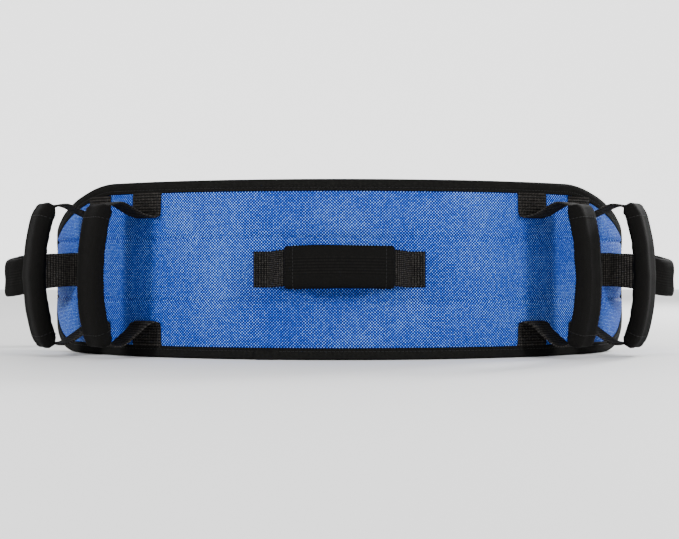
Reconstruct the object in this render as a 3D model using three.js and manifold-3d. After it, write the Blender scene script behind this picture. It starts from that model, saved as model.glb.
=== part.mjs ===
// Gait belt: a padded back panel with seven grab handles, closed in front by a webbing strap.
// The belt stands on its lower edge as a closed loop. Millimetres, +Z up. The panel's blue outer
// face looks towards -Y, the strap crosses in front of the wearer at +Y, the buckle is at -X.

import * as THREE from 'three';
import { mergeVertices } from 'three/addons/utils/BufferGeometryUtils.js';
import Module from 'manifold-3d';

const wasm = await Module();
wasm.setup();

// ---- Driving dimensions -------------------------------------------------------------------

const GAP = 0.3; // clearance between pieces that touch on the real belt

// Back panel, which bends round the wearer as half of an ellipse.
const PANEL_HEIGHT = 160;
const PANEL_HALF_WIDTH = 286;
const PANEL_DEPTH = 215;
const PANEL_END_ANGLE = 86 * Math.PI / 180;
const PANEL_STEPS = 56;
const MID_HEIGHT = PANEL_HEIGHT / 2;
const ORIGIN_SHIFT_Y = 73.3; // from the middle of the whole belt to the centre of the panel's ellipse

// The panel's outline falls towards its ends: where each fall starts, bends and ends.
const TOP_FALL = { start: 224, bend: 264, endHalfHeight: 28 };
const BOTTOM_FALL = { start: 285, bend: 336, endHalfHeight: 34 };

// Layers of the panel, as offsets along the outward normal, from the inner face to the outer one.
const LAYERS = {
  channelCover: [-10.3, -9.1],
  waistWebbing: [-8.8, -7.2],
  bindingInner: [-6.9, -5.9],
  meshLining: [-5.6, -4.2],
  foamCore: [-3.9, 2.1],
  outerShell: [2.4, 3.8],
  bindingOuter: [4.1, 5.3],
  anchor: [4.1, 6.1],
};
const BINDING_REACH = 11; // how far the binding covers each face
const BINDING_FOLD = 1.2;
const SHEET_INSET = BINDING_FOLD + GAP;
const CHANNEL_HEIGHT = 60;

// Webbing.
const STRAP_WIDTH = 50;
const STRAP_THICKNESS = 1.6;
const HANDLE_WEBBING_WIDTH = 32;
const HANDLE_WEBBING_THICKNESS = 2;

// Handles, in the plane of their loop: [along the hinge line, away from it]. The loop's centre line
// runs through the points in route, which is half of it, and the rest mirrors it. The loop's middle
// is sag lower along its hinge line, or rise higher across its webbing.
const FOOT = 8; // the loops start this far off the panel's cloth
const NECK_HALF_WIDTH = 4;
const NECK_FLARE = 0.62; // growth of the webbing's half width along the loop, past the neck
const UPRIGHT_LOOP = {
  route: [[50, FOOT], [57, 18], [65, 33], [61, 46], [34, 54], [0, 57]],
  sleeveFrom: 0.2,
  sleeve: [17, 7.5],
  sag: 6,
  rise: 0,
};
const CENTRE_LOOP = {
  route: [[62, FOOT], [57, 16], [48, 25], [26, 31], [0, 33]],
  sleeveFrom: 0.16,
  sleeve: [18.5, 6.5],
  sag: 0,
  rise: 2.5,
};
const SIDE_LOOP = {
  route: [[31, FOOT], [32, 18], [29, 34], [19, 50], [0, 56]],
  sleeveFrom: 0.2,
  sleeve: [17.5, 6.5],
  sag: 0,
  rise: -8,
};
const LOOP_STEPS = 28;
const SLEEVE_STEPS = 14;
const SLEEVE_SIDES = 16;
const INNER_UPRIGHT = { arc: 181, lean: 25, stretch: 1 };
const OUTER_UPRIGHT = { arc: 241, lean: 19, stretch: 1.12 };
const SIDE_ARC = 313;
const LEVEL_ANCHOR_LENGTH = 15;

// Front strap: where it bends out of the panel's right end, and the route across the front.
const STRAP_OFFSET = (LAYERS.waistWebbing[0] + LAYERS.waistWebbing[1]) / 2;
const STRAP_X = PANEL_HALF_WIDTH * Math.sin(PANEL_END_ANGLE) + STRAP_OFFSET;
const STRAP_HINGE_Y = 32;
const HINGE_CLEARANCE = STRAP_THICKNESS / 2 + GAP; // room for a strip to turn about its own end
const STRAIGHT_START = new THREE.Vector3(165, 92, 62);
const STRAIGHT_END = new THREE.Vector3(45, 101, 54);
const STRAP_BEND_REACH = 150; // how far the straight stretch's direction leads the last bend
const TAIL_SHARE = 0.93; // part of the last bend that the tail lies along
const TAIL_SLANT = 9;

// Side-release buckle. Its length runs along Y and its width along Z.
const BUCKLE_HALF_WIDTH = 30;
const RECEIVER = { back: 8, mouth: 46, halfThickness: 6.5, wall: 2.2 };
const RECEIVER_BAR = { back: -6, front: -1.5, halfThickness: 2.5 };
const WINDOW = { back: 17.5, front: 34.5 };
const MALE = { back: 46.6, slotBack: 60, slotFront: 69, front: 74, halfThickness: 4 };
const LOCK_BAR = { x: -7.5, halfDepth: 1.5, halfThickness: 1.2 };
const PRONG = { tip: 18.5, pivot: 51, pivotZ: 19, arm: 4, rootRadius: 2.6, headZ: 29.6, halfThickness: 3.4 };
const TONGUE = { tip: 16, halfWidth: 6, halfThickness: 2.6 };

// Three-bar slider.
const SLIDER = { halfLength: 14.5, halfWidth: 31, halfDepth: 4, bar: 4, centreBar: 2.3, corner: 6 };
const SLIDER_SHARE = 0.46; // its place along the straight stretch

// ---- Materials ----------------------------------------------------------------------------

function finish(color, roughness, metalness = 0) {
  return new THREE.MeshStandardMaterial({ color, roughness, metalness });
}

const FINISH = {
  blueCloth: () => finish(0x3473d6, 0.75),
  blackCloth: () => finish(0x141416, 0.9),
  mesh: () => finish(0x17171a, 0.95),
  foam: () => finish(0x3a3a3c, 0.95),
  webbing: () => finish(0x26262a, 0.85),
  sleeve: () => finish(0x101012, 0.8),
  plastic: () => finish(0x2c2c30, 0.45),
};

// ---- Solids -------------------------------------------------------------------------------

const belt = new THREE.Group();
belt.name = 'gait_belt';

function addMesh(name, geometry, material) {
  const mesh = new THREE.Mesh(geometry, material);
  mesh.name = name;
  belt.add(mesh);
}

// Joins rings of points into a closed skin. Open lofts get a flat cap at each end.
function loft(rings, closed = false) {
  const count = rings[0].length;
  const positions = rings.flat().flatMap((point) => point.toArray());
  const indices = [];
  const last = closed ? rings.length : rings.length - 1;
  for (let ring = 0; ring < last; ring += 1) {
    const here = ring * count;
    const next = ((ring + 1) % rings.length) * count;
    for (let i = 0; i < count; i += 1) {
      const j = (i + 1) % count;
      indices.push(here + i, here + j, next + j, here + i, next + j, next + i);
    }
  }
  if (!closed) {
    const end = (rings.length - 1) * count;
    for (let i = 1; i < count - 1; i += 1) {
      indices.push(0, i + 1, i, end, end + i, end + i + 1);
    }
  }
  const geometry = new THREE.BufferGeometry();
  geometry.setAttribute('position', new THREE.Float32BufferAttribute(positions, 3));
  geometry.setIndex(indices);
  return faceOutward(geometry);
}

function signedVolume(geometry) {
  const position = geometry.getAttribute('position');
  const index = geometry.getIndex().array;
  const [a, b, c] = [new THREE.Vector3(), new THREE.Vector3(), new THREE.Vector3()];
  let volume = 0;
  for (let i = 0; i < index.length; i += 3) {
    a.fromBufferAttribute(position, index[i]);
    b.fromBufferAttribute(position, index[i + 1]);
    c.fromBufferAttribute(position, index[i + 2]);
    volume += a.dot(b.cross(c)) / 6;
  }
  return volume;
}

function faceOutward(geometry) {
  if (signedVolume(geometry) < 0) {
    const index = geometry.getIndex().array;
    for (let i = 0; i < index.length; i += 3) {
      [index[i], index[i + 1]] = [index[i + 1], index[i]];
    }
  }
  return geometry;
}

// Turns a closed three.js geometry into a solid that can be joined or cut.
function toSolid(geometry) {
  const bare = geometry.clone();
  bare.deleteAttribute('normal');
  bare.deleteAttribute('uv');
  const merged = faceOutward(mergeVertices(bare, 1e-4));
  return new wasm.Manifold(new wasm.Mesh({
    numProp: 3,
    vertProperties: new Float32Array(merged.getAttribute('position').array),
    triVerts: new Uint32Array(merged.getIndex().array),
  }));
}

function toGeometry(solid) {
  const mesh = solid.getMesh();
  const geometry = new THREE.BufferGeometry();
  geometry.setAttribute('position', new THREE.Float32BufferAttribute(mesh.vertProperties, 3));
  geometry.setIndex(Array.from(mesh.triVerts));
  return geometry;
}

function box(low, high) {
  const size = high.map((value, i) => value - low[i]);
  const geometry = new THREE.BoxGeometry(...size);
  geometry.translate(...low.map((value, i) => value + size[i] / 2));
  return geometry;
}

// ---- Panel surface ------------------------------------------------------------------------

function panelSpeed(angle) {
  return Math.hypot(PANEL_HALF_WIDTH * Math.cos(angle), PANEL_DEPTH * Math.sin(angle));
}

// Arc length along the panel, from its middle, worked out by the midpoint rule.
function arcAtAngle(angle, slices = 200) {
  const slice = angle / slices;
  let arc = 0;
  for (let i = 0; i < slices; i += 1) {
    arc += panelSpeed((i + 0.5) * slice) * slice;
  }
  return arc;
}

function angleAtArc(arc) {
  let angle = arc / PANEL_HALF_WIDTH;
  for (let i = 0; i < 12; i += 1) {
    angle -= (arcAtAngle(angle) - arc) / panelSpeed(angle);
  }
  return angle;
}

function panelNormal(angle) {
  return new THREE.Vector3(
    PANEL_DEPTH * Math.sin(angle), -PANEL_HALF_WIDTH * Math.cos(angle), 0,
  ).normalize();
}

function panelPoint(angle, offset, z) {
  return new THREE.Vector3(
    PANEL_HALF_WIDTH * Math.sin(angle), -PANEL_DEPTH * Math.cos(angle), z,
  ).addScaledVector(panelNormal(angle), offset);
}

const PANEL_END_ARC = arcAtAngle(PANEL_END_ANGLE);

// Half height of the outline at an arc length: level, then a smooth fall to the end.
function halfHeight(arc, fall) {
  const along = Math.abs(arc);
  if (along <= fall.start) {
    return MID_HEIGHT;
  }
  const a = fall.start - 2 * fall.bend + PANEL_END_ARC;
  const b = 2 * (fall.bend - fall.start);
  const c = fall.start - Math.min(along, PANEL_END_ARC);
  const share = (-b + Math.sqrt(b * b - 4 * a * c)) / (2 * a);
  return MID_HEIGHT - (MID_HEIGHT - fall.endHalfHeight) * share * share;
}

function range(from, to, steps) {
  return Array.from({ length: steps + 1 }, (_, i) => from + (to - from) * i / steps);
}

// A layer of the panel between two angles. Its lower and upper edges are functions of the angle.
function panelLayer(angles, [inner, outer], lowerEdge, upperEdge) {
  return loft(angles.map((angle) => [
    panelPoint(angle, inner, lowerEdge(angle)),
    panelPoint(angle, outer, lowerEdge(angle)),
    panelPoint(angle, outer, upperEdge(angle)),
    panelPoint(angle, inner, upperEdge(angle)),
  ]));
}

function fullSheet(layer) {
  const trim = SHEET_INSET / panelSpeed(PANEL_END_ANGLE);
  const angles = range(-PANEL_END_ANGLE + trim, PANEL_END_ANGLE - trim, PANEL_STEPS);
  const lower = (angle) => MID_HEIGHT - halfHeight(arcAtAngle(angle), BOTTOM_FALL) + 2 * SHEET_INSET;
  const upper = (angle) => MID_HEIGHT + halfHeight(arcAtAngle(angle), TOP_FALL) - 2 * SHEET_INSET;
  return panelLayer(angles, layer, lower, upper);
}

function channelStrip(layer, height) {
  const angles = range(-PANEL_END_ANGLE, PANEL_END_ANGLE, PANEL_STEPS);
  return panelLayer(angles, layer, () => MID_HEIGHT - height / 2, () => MID_HEIGHT + height / 2);
}

// The binding's route in the flat pattern: along the bottom, up one end, back along the top.
function outlinePattern() {
  const angles = range(-PANEL_END_ANGLE, PANEL_END_ANGLE, PANEL_STEPS);
  const arcs = angles.map((angle) => arcAtAngle(angle));
  const bottom = arcs.map((arc) => new THREE.Vector2(arc, MID_HEIGHT - halfHeight(arc, BOTTOM_FALL)));
  const top = arcs.map((arc) => new THREE.Vector2(arc, MID_HEIGHT + halfHeight(arc, TOP_FALL)));
  return [...bottom, ...top.reverse()];
}

// Tape folded over the panel's edge all the way round: a U section carried along the outline.
function edgeBinding() {
  const outline = outlinePattern();
  const { bindingInner, bindingOuter } = LAYERS;
  const section = [
    [0, bindingInner[0]], [BINDING_REACH, bindingInner[0]],
    [BINDING_REACH, bindingInner[1]], [BINDING_FOLD, bindingInner[1]],
    [BINDING_FOLD, bindingOuter[0]], [BINDING_REACH, bindingOuter[0]],
    [BINDING_REACH, bindingOuter[1]], [0, bindingOuter[1]],
  ];
  const rings = outline.map((point, i) => {
    const before = outline[(i + outline.length - 1) % outline.length];
    const after = outline[(i + 1) % outline.length];
    const into = point.clone().sub(before).normalize();
    const out = after.clone().sub(point).normalize();
    const inward = new THREE.Vector2(-into.y - out.y, into.x + out.x).normalize();
    const mitre = 1 / Math.max(0.6, inward.x * -into.y + inward.y * into.x);
    return section.map(([depth, offset]) => {
      const arc = point.x + inward.x * depth * mitre;
      return panelPoint(angleAtArc(arc), offset, point.y + inward.y * depth * mitre);
    });
  });
  return loft(rings, true);
}

function buildPanel() {
  addMesh('outer_shell', fullSheet(LAYERS.outerShell), FINISH.blueCloth());
  addMesh('foam_core', fullSheet(LAYERS.foamCore), FINISH.foam());
  addMesh('mesh_lining', fullSheet(LAYERS.meshLining), FINISH.mesh());
  addMesh('channel_cover', channelStrip(LAYERS.channelCover, CHANNEL_HEIGHT), FINISH.blackCloth());
  addMesh('edge_binding', edgeBinding(), FINISH.blackCloth());
}

// ---- Upright strips of webbing ------------------------------------------------------------

// A strip that stands on edge: a level route of centre points, with its width upright.
function uprightStrip(centres, width, thickness) {
  return loft(centres.map((centre, i) => {
    const before = centres[Math.max(i - 1, 0)];
    const after = centres[Math.min(i + 1, centres.length - 1)];
    const side = new THREE.Vector3(before.y - after.y, after.x - before.x, 0).setLength(thickness / 2);
    return [[1, -1], [-1, -1], [-1, 1], [1, 1]].map(([across, up]) => (
      centre.clone().addScaledVector(side, across).add(new THREE.Vector3(0, 0, up * width / 2))
    ));
  }));
}

// The strap's long webbing lies in the panel's channel and leaves its right end.
function waistWebbing() {
  const inChannel = range(-PANEL_END_ANGLE, PANEL_END_ANGLE, PANEL_STEPS)
    .map((angle) => panelPoint(angle, STRAP_OFFSET, MID_HEIGHT));
  const exitY = inChannel.at(-1).y;
  const outside = range(exitY, STRAP_HINGE_Y - HINGE_CLEARANCE, 5).slice(1)
    .map((y) => new THREE.Vector3(STRAP_X, y, MID_HEIGHT));
  return uprightStrip([...inChannel, ...outside], STRAP_WIDTH, STRAP_THICKNESS);
}

// Webbing loop that ties the receiver's bar to the panel's left end.
function receiverTab() {
  const barY = (RECEIVER_BAR.back + RECEIVER_BAR.front) / 2;
  const barCorner = Math.hypot(RECEIVER_BAR.halfThickness, RECEIVER_BAR.front - barY);
  const reach = barCorner + GAP + STRAP_THICKNESS / 2;
  const endY = -PANEL_DEPTH * Math.cos(PANEL_END_ANGLE) + 2 * GAP;
  const turn = range(-Math.PI / 2, Math.PI / 2, 10)
    .map((turned) => new THREE.Vector3(
      -STRAP_X + reach * Math.sin(turned), barY + reach * Math.cos(turned), MID_HEIGHT,
    ));
  const first = new THREE.Vector3(-STRAP_X - reach, endY, MID_HEIGHT);
  const last = new THREE.Vector3(-STRAP_X + reach, endY, MID_HEIGHT);
  return uprightStrip([first, ...turn, last], STRAP_WIDTH, STRAP_THICKNESS);
}

const LOCK_Y = (MALE.slotBack + MALE.slotFront) / 2;
const LOCK_WRAP = Math.hypot(LOCK_BAR.halfDepth, LOCK_BAR.halfThickness) + GAP + STRAP_THICKNESS / 2;
const SLOT_EXIT_X = -STRAP_X + MALE.halfThickness + 1;

function alongStraight(share) {
  return STRAIGHT_START.clone().lerp(STRAIGHT_END, share);
}

// The bend from the straight stretch to the buckle's slot.
function lastBend() {
  const straight = STRAIGHT_END.clone().sub(STRAIGHT_START);
  const slotEntry = new THREE.Vector3(SLOT_EXIT_X, LOCK_Y - LOCK_WRAP, MID_HEIGHT);
  return new THREE.CubicBezierCurve3(
    STRAIGHT_END,
    STRAIGHT_END.clone().addScaledVector(straight, STRAP_BEND_REACH / -straight.x),
    slotEntry.clone().add(new THREE.Vector3(70, 0, -6)),
    slotEntry,
  );
}

// The front strap bends away from its hinge, runs straight under the slider, bends to the buckle,
// passes through the slot and folds round the lock bar. The tail carries on from there.
function frontStrap() {
  const straight = STRAIGHT_END.clone().sub(STRAIGHT_START);
  const hinge = new THREE.Vector3(STRAP_X, STRAP_HINGE_Y, MID_HEIGHT);
  const corner = STRAIGHT_START.clone()
    .addScaledVector(straight, (STRAP_X - STRAIGHT_START.x) / straight.x);
  const first = new THREE.QuadraticBezierCurve3(hinge, corner, STRAIGHT_START);
  const fold = range(0, Math.PI, 8).map((turn) => new THREE.Vector3(
    -STRAP_X + LOCK_BAR.x - LOCK_WRAP * Math.sin(turn), LOCK_Y - LOCK_WRAP * Math.cos(turn), MID_HEIGHT,
  ));
  const slotExit = new THREE.Vector3(SLOT_EXIT_X - HINGE_CLEARANCE, LOCK_Y + LOCK_WRAP, MID_HEIGHT);
  const centres = [
    ...first.getPoints(14),
    ...range(0, 1, 4).slice(1).map(alongStraight),
    ...lastBend().getPoints(26).slice(1),
    ...fold,
    slotExit,
  ];
  return uprightStrip(centres, STRAP_WIDTH, STRAP_THICKNESS);
}

// Distance between the tail and the strap behind it, from the buckle (0) to the cut end (1).
function tailGap(share) {
  return 3 + (2 * LOCK_WRAP - 3) * (1 - share) ** 3 + 7 * Math.sin(Math.PI * share) ** 2 * (1 - share);
}

function strapTail() {
  const bend = lastBend();
  const centres = range(0, 1, 26).map((share) => {
    const along = 1 - share * TAIL_SHARE;
    const tangent = bend.getTangent(along);
    const outward = new THREE.Vector3(tangent.y, -tangent.x, 0).normalize();
    return bend.getPoint(along).addScaledVector(outward, tailGap(share));
  });
  const strip = uprightStrip(centres, STRAP_WIDTH, STRAP_THICKNESS);
  return slantedCut(strip, centres.at(-1));
}

// Cuts the tail's end at a slant: the upper corner is shorter than the lower one.
function slantedCut(strip, end) {
  const half = STRAP_WIDTH / 2 + 2;
  const cutter = new THREE.ExtrudeGeometry(new THREE.Shape([
    new THREE.Vector2(end.x - TAIL_SLANT, end.z + half),
    new THREE.Vector2(end.x, end.z - half),
    new THREE.Vector2(end.x + TAIL_SLANT, end.z - half),
    new THREE.Vector2(end.x + TAIL_SLANT, end.z + half),
  ]), { depth: 4 * half, bevelEnabled: false });
  cutter.rotateX(Math.PI / 2);
  cutter.translate(0, end.y + 2 * half, 0);
  return toGeometry(toSolid(strip).subtract(toSolid(cutter)));
}

// ---- Buckle and slider --------------------------------------------------------------------

// A plate in the Y-Z plane, with its thickness along X, from an outline and holes.
function plate(outline, holes, halfThickness) {
  const shape = new THREE.Shape(outline.map(([y, z]) => new THREE.Vector2(y, z)));
  shape.holes = holes.map((hole) => new THREE.Path(hole.map(([y, z]) => new THREE.Vector2(y, z))));
  const geometry = new THREE.ExtrudeGeometry(shape, { depth: 2 * halfThickness, bevelEnabled: false });
  geometry.translate(0, 0, -halfThickness);
  geometry.rotateY(Math.PI / 2);
  geometry.rotateX(Math.PI / 2);
  return geometry;
}

function rectangle(y0, y1, halfZ) {
  return [[y0, -halfZ], [y1, -halfZ], [y1, halfZ], [y0, halfZ]];
}

// A rectangle whose corners are cut off, for moulded plastic.
function chamfered(y0, y1, halfZ, cut) {
  return [
    [y0 + cut, -halfZ], [y1 - cut, -halfZ], [y1, -halfZ + cut], [y1, halfZ - cut],
    [y1 - cut, halfZ], [y0 + cut, halfZ], [y0, halfZ - cut], [y0, -halfZ + cut],
  ];
}

function placeAtBuckle(solid) {
  const geometry = toGeometry(solid);
  geometry.translate(-STRAP_X, 0, MID_HEIGHT);
  return geometry;
}

// Hollow housing, open at its mouth and at the two side windows, with a bar for the webbing.
function buckleReceiver() {
  const { back, mouth, halfThickness, wall } = RECEIVER;
  const inner = halfThickness - wall;
  const body = toSolid(plate(chamfered(back, mouth, BUCKLE_HALF_WIDTH, 3), [], halfThickness));
  const cavity = toSolid(box(
    [-inner, back + 2 * wall, wall - BUCKLE_HALF_WIDTH], [inner, mouth + 1, BUCKLE_HALF_WIDTH - wall],
  ));
  const windows = toSolid(box(
    [-inner, WINDOW.back, -BUCKLE_HALF_WIDTH - 1], [inner, WINDOW.front, BUCKLE_HALF_WIDTH + 1],
  ));
  const frame = toSolid(plate(
    chamfered(RECEIVER_BAR.back, back + 1, BUCKLE_HALF_WIDTH, 2),
    [rectangle(RECEIVER_BAR.front, back - 1.5, STRAP_WIDTH / 2 + 1)],
    RECEIVER_BAR.halfThickness,
  ));
  return placeAtBuckle(body.subtract(cavity).subtract(windows).add(frame));
}

// Base with a guide tongue, two sockets for the prongs, the strap's slot and the lock bar.
function buckleBase() {
  const { back, slotBack, slotFront, front, halfThickness } = MALE;
  const frame = toSolid(plate(
    chamfered(back, front, BUCKLE_HALF_WIDTH, 2.5),
    [rectangle(slotBack, slotFront, STRAP_WIDTH / 2 + 1)],
    halfThickness,
  ));
  const tongue = toSolid(plate(
    chamfered(TONGUE.tip, back + 1, TONGUE.halfWidth, 2), [], TONGUE.halfThickness,
  ));
  const lockTop = STRAP_WIDTH / 2 + 4;
  const lock = toSolid(box(
    [LOCK_BAR.x - LOCK_BAR.halfThickness, LOCK_Y - LOCK_BAR.halfDepth, -lockTop],
    [LOCK_BAR.x + LOCK_BAR.halfThickness, LOCK_Y + LOCK_BAR.halfDepth, lockTop],
  ));
  const lugs = [-1, 1].map((side) => toSolid(box(
    [LOCK_BAR.x - LOCK_BAR.halfThickness, LOCK_Y - 4, Math.min(side * lockTop, side * (lockTop - 3))],
    [0, LOCK_Y + 4, Math.max(side * lockTop, side * (lockTop - 3))],
  )));
  const sockets = [-1, 1].map((side) => toSolid(plate(
    prongSocket(side), [], halfThickness + 1,
  )));
  const joined = [tongue, lock, ...lugs].reduce((solid, piece) => solid.add(piece), frame);
  return placeAtBuckle(sockets.reduce((solid, piece) => solid.subtract(piece), joined));
}

function arcPoints(y, z, radius, from, to, steps) {
  return range(from, to, steps).map((turn) => [y + radius * Math.cos(turn), z + radius * Math.sin(turn)]);
}

// Round socket in the base, open towards the receiver and wide enough for the prong's swing.
function prongSocket(side) {
  const { pivot, pivotZ, rootRadius } = PRONG;
  const radius = rootRadius + 0.5;
  const round = arcPoints(pivot, side * pivotZ, radius, -Math.PI / 2, Math.PI / 2, 8);
  return [[MALE.back - 1, side * pivotZ - radius - 1], ...round, [MALE.back - 1, side * pivotZ + radius + 1]];
}

// Springy arm with a catch that fills the receiver's window.
function prong(side) {
  const { tip, pivot, pivotZ, arm, rootRadius, headZ, halfThickness } = PRONG;
  const root = arcPoints(pivot, pivotZ, rootRadius, -Math.PI / 2, Math.PI / 2, 8);
  const outline = [
    ...root, [WINDOW.front, pivotZ + arm / 2], [WINDOW.front - GAP, headZ - 1.5], [WINDOW.front - 2, headZ],
    [tip + 8, headZ], [tip + 1, headZ - 5], [tip, pivotZ], [tip + 1.5, pivotZ - arm / 2],
  ].map(([y, z]) => [y, side * z]);
  return placeAtBuckle(toSolid(plate(outline, [], halfThickness)));
}

// Frame whose side bars pass in front of the strap and whose centre bar passes behind it.
function slider() {
  const { halfLength, halfWidth, halfDepth, bar, centreBar, corner } = SLIDER;
  const clear = STRAP_THICKNESS / 2 + 0.4;
  const frame = toSolid(plate(
    chamfered(-halfLength, halfLength, halfWidth, corner),
    [rectangle(bar - halfLength, halfLength - bar, STRAP_WIDTH / 2 + 1.2)],
    halfDepth,
  ));
  const passage = toSolid(box(
    [-clear, -halfLength - 1, -STRAP_WIDTH / 2 - 1.2], [halfDepth + 1, halfLength + 1, STRAP_WIDTH / 2 + 1.2],
  ));
  const centre = toSolid(box([clear, -centreBar, -halfWidth + 2], [halfDepth, centreBar, halfWidth - 2]));
  return toGeometry(frame.subtract(passage).add(centre));
}

// The slider's own frame: its length lies along the strap and its back faces the wearer.
function placeOnStrap(geometry) {
  const middle = alongStraight(SLIDER_SHARE);
  const along = STRAIGHT_END.clone().sub(STRAIGHT_START).normalize();
  const inward = new THREE.Vector3(-along.y, along.x, 0).normalize();
  const up = new THREE.Vector3().crossVectors(inward, along);
  geometry.applyMatrix4(new THREE.Matrix4().makeBasis(inward, along, up).setPosition(middle));
  return geometry;
}

function buildStrap() {
  addMesh('waist_webbing', waistWebbing(), FINISH.webbing());
  addMesh('receiver_tab', receiverTab(), FINISH.webbing());
  addMesh('front_strap', frontStrap(), FINISH.webbing());
  addMesh('strap_tail', strapTail(), FINISH.webbing());
  addMesh('slider', placeOnStrap(slider()), FINISH.plastic());
  addMesh('buckle_receiver', buckleReceiver(), FINISH.plastic());
  addMesh('buckle_base', buckleBase(), FINISH.plastic());
  addMesh('upper_prong', prong(1), FINISH.plastic());
  addMesh('lower_prong', prong(-1), FINISH.plastic());
}

// ---- Handles ------------------------------------------------------------------------------

// A loop's own frame: U along the line through its hinge points, V away from the panel, W across.
function loopFrame(origin, alongHinge, away) {
  const across = new THREE.Vector3().crossVectors(alongHinge, away);
  return new THREE.Matrix4().makeBasis(alongHinge, away, across).setPosition(origin);
}

function loopCurve({ route, sag, rise }, stretch) {
  const half = route.map(([u, v]) => new THREE.Vector3(u, v === FOOT ? v : v * stretch, 0));
  const mirrored = half.slice(0, -1).reverse().map((point) => new THREE.Vector3(-point.x, point.y, 0));
  const points = [...half, ...mirrored];
  const top = half.at(-1).y;
  points.forEach((point) => {
    point.x -= sag * ((point.y - FOOT) / (top - FOOT)) ** 0.5;
    point.z = -rise * (point.y / top) ** 2;
  });
  return new THREE.CatmullRomCurve3(points, false, 'centripetal');
}

// Rings of a band that follows the loop: a section of [across, through] points at each step.
function bandRings(curve, shares, section) {
  return shares.map((share) => {
    const centre = curve.getPointAt(share);
    const tangent = curve.getTangentAt(share);
    const through = new THREE.Vector3(-tangent.y, tangent.x, 0).normalize();
    return section(share).map(([across, depth]) => (
      centre.clone().addScaledVector(through, depth).add(new THREE.Vector3(0, 0, across))
    ));
  });
}

function strapSection(halfWidth, halfThickness) {
  return [
    [-halfWidth, -halfThickness], [halfWidth, -halfThickness],
    [halfWidth, halfThickness], [-halfWidth, halfThickness],
  ];
}

function loopWebbing(curve) {
  const length = curve.getLength();
  const widest = HANDLE_WEBBING_WIDTH / 2;
  return loft(bandRings(curve, range(0, 1, LOOP_STEPS), (share) => {
    const fromHinge = Math.min(share, 1 - share) * length;
    const halfWidth = Math.min(widest, NECK_HALF_WIDTH + NECK_FLARE * fromHinge);
    return strapSection(halfWidth, HANDLE_WEBBING_THICKNESS / 2);
  }));
}

// Padded sleeve on the middle of the loop, with a passage for the webbing.
function loopSleeve(curve, { sleeveFrom, sleeve }) {
  const [halfWidth, halfThickness] = sleeve;
  const outer = loft(bandRings(curve, range(sleeveFrom, 1 - sleeveFrom, SLEEVE_STEPS), (share) => {
    const fromEnd = (Math.min(share, 1 - share) - sleeveFrom) / (0.5 - sleeveFrom);
    const swell = 0.72 + 0.28 * Math.sin(Math.min(1, 4 * fromEnd) * Math.PI / 2);
    return range(0, 2 * Math.PI, SLEEVE_SIDES).slice(0, -1).map((turn) => {
      const [c, s] = [Math.cos(turn), Math.sin(turn)];
      const square = (value) => Math.sign(value) * Math.abs(value) ** 0.5;
      return [halfWidth * square(c) * (0.9 + 0.1 * swell), halfThickness * square(s) * swell];
    });
  }));
  const passage = loft(bandRings(curve, range(sleeveFrom - 0.02, 1.02 - sleeveFrom, LOOP_STEPS), () => (
    strapSection(HANDLE_WEBBING_WIDTH / 2 + GAP, HANDLE_WEBBING_THICKNESS / 2 + 2 * GAP)
  )));
  return toGeometry(toSolid(outer).subtract(toSolid(passage)));
}

function addLoop(name, loop, frame, stretch = 1) {
  const curve = loopCurve(loop, stretch);
  addMesh(`${name}_webbing`, loopWebbing(curve).applyMatrix4(frame), FINISH.webbing());
  addMesh(`${name}_grip`, loopSleeve(curve, loop).applyMatrix4(frame), FINISH.sleeve());
}

function addPatch(name, arcFrom, arcTo, zFrom, zTo) {
  const angles = range(angleAtArc(arcFrom), angleAtArc(arcTo), 4);
  addMesh(name, panelLayer(angles, LAYERS.anchor, () => zFrom, () => zTo), FINISH.webbing());
}

// Upright handle: its loop hinges about a vertical line and leans towards the panel's end.
function uprightHandle(name, side, { arc, lean, stretch }) {
  const angle = side * angleAtArc(arc);
  const origin = panelPoint(angle, LAYERS.outerShell[1], MID_HEIGHT);
  const away = panelNormal(angle).applyAxisAngle(new THREE.Vector3(0, 0, 1), side * lean * Math.PI / 180);
  addLoop(name, UPRIGHT_LOOP, loopFrame(origin, new THREE.Vector3(0, 0, 1), away), stretch);
  const half = HANDLE_WEBBING_WIDTH / 2;
  const innerZ = UPRIGHT_LOOP.route[0][0] - HANDLE_WEBBING_THICKNESS;
  const outerZ = Math.min(
    halfHeight(arc + half, TOP_FALL), halfHeight(arc + half, BOTTOM_FALL),
  ) - BINDING_REACH - 1;
  const [from, to] = [side * arc - half, side * arc + half];
  addPatch(`${name}_top_anchor`, from, to, MID_HEIGHT + innerZ, MID_HEIGHT + outerZ);
  addPatch(`${name}_bottom_anchor`, from, to, MID_HEIGHT - outerZ, MID_HEIGHT - innerZ);
}

// Level handle: its loop hinges about the line between its two anchors.
function levelHandle(name, arc, loop) {
  const reach = loop.route[0][0];
  const ends = [-1, 1].map((end) => (
    panelPoint(angleAtArc(arc + end * reach), LAYERS.outerShell[1], MID_HEIGHT)
  ));
  const along = ends[1].clone().sub(ends[0]).normalize();
  const away = new THREE.Vector3(along.y, -along.x, 0);
  const origin = ends[0].clone().lerp(ends[1], 0.5);
  addLoop(name, loop, loopFrame(origin, along, away));
  const half = HANDLE_WEBBING_WIDTH / 2;
  [['left', -1], ['right', 1]].forEach(([label, end]) => {
    const near = arc + end * (reach - 2);
    const far = near + end * LEVEL_ANCHOR_LENGTH;
    addPatch(`${name}_${label}_anchor`, Math.min(near, far), Math.max(near, far),
      MID_HEIGHT - half, MID_HEIGHT + half);
  });
}

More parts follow.
